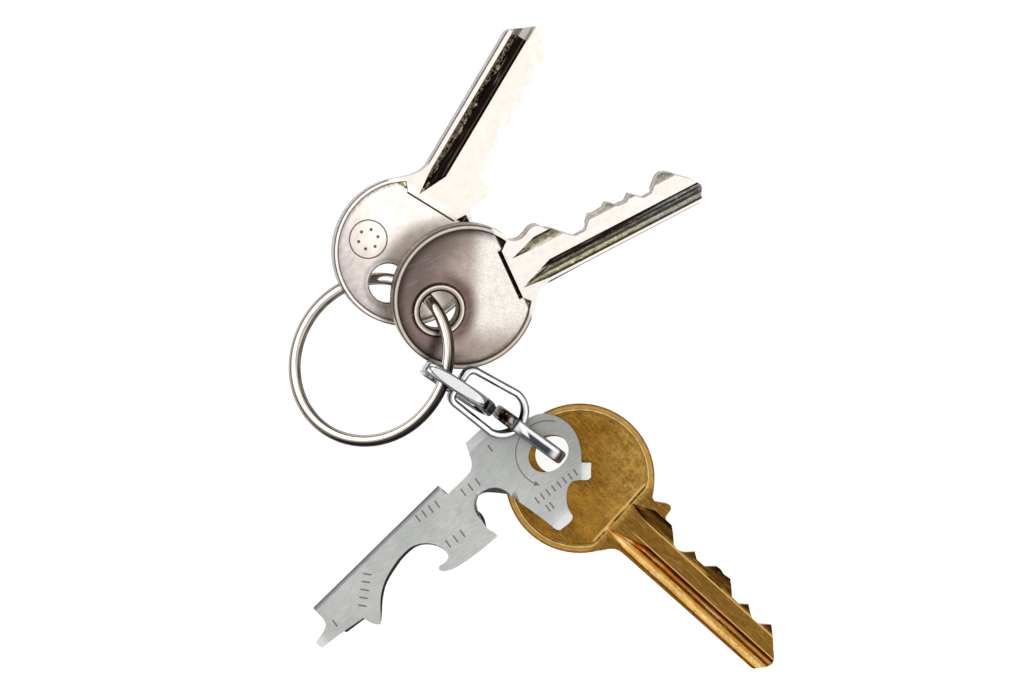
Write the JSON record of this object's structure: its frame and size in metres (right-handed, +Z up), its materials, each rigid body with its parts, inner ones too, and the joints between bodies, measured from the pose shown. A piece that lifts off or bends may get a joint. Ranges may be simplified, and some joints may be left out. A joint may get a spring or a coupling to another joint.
{
  "type": "key organiser",
  "caption": "Split ring with round-bow cylinder keys, and a short chain of steel links holding a brass key and a folded key-shaped multitool.",
  "frame": {"origin": "middle of the bunch's footprint, on the flat surface that it lies on", "axes": "+Z up from the surface, +Y along the bunch's longest way, towards the rear key's tip, +X to the right of it"},
  "size_m": [0.0824, 0.1092, 0.0154],
  "materials": {
    "split_ring": "nickel plated, polished",
    "ring_link": "nickel plated, polished",
    "middle_link": "nickel plated, polished",
    "tool_link": "nickel plated, polished",
    "rear_key": "worn nickel plate",
    "front_key": "worn nickel plate",
    "brass_key": "aged, bare",
    "key_multitool": "brushed stainless sheet with ground edges"
  },
  "bodies": {
    "split_ring": {"split_ring": "split_ring"},
    "ring_link": {"ring_link": "ring_link"},
    "middle_link": {"middle_link": "middle_link"},
    "tool_link": {"tool_link": "tool_link"},
    "rear_key": {"rear_key": "rear_key"},
    "front_key": {"front_key": "front_key"},
    "brass_key": {"brass_key": "brass_key"},
    "key_multitool": {"key_multitool": "key_multitool"}
  },
  "joints": [
    {"name": "rear_key_swing", "type": "hinge", "parent": "split_ring", "child": "rear_key", "pos_m": [-0.02426, 0.01146, 0.00467], "axis": [0.9168, -0.1165, 0.3819], "range_deg": [0, 25]},
    {"name": "front_key_swing", "type": "hinge", "parent": "split_ring", "child": "front_key", "pos_m": [-0.01599, 0.00635, 0.00912], "axis": [0.5131, -0.7661, 0.3871], "range_deg": [0, 20]},
    {"name": "chain_lift", "type": "hinge", "parent": "split_ring", "child": "ring_link", "pos_m": [-0.01451, -0.0052, 0.01255], "axis": [-0.2946, -0.9478, 0.1217], "range_deg": [0, 60]},
    {"name": "middle_link_turn", "type": "hinge", "parent": "ring_link", "child": "middle_link", "pos_m": [-0.01202, -0.00599, 0.01012], "axis": [0, 0, 1], "range_deg": [-12, 5]},
    {"name": "tool_link_turn", "type": "hinge", "parent": "middle_link", "child": "tool_link", "pos_m": [-0.00173, -0.01293, 0.0066], "axis": [0, 0, 1], "range_deg": [-20, 12]},
    {"name": "brass_key_swivel", "type": "hinge", "parent": "tool_link", "child": "brass_key", "pos_m": [0.00476, -0.01846, 0.00377], "axis": [0.023, -0.016, 0.9996], "range_deg": [0, 45]},
    {"name": "multitool_swivel", "type": "hinge", "parent": "brass_key", "child": "key_multitool", "pos_m": [0.00476, -0.01846, 0.00377], "axis": [0.023, -0.016, 0.9996], "range_deg": [-3, 45]}
  ]
}
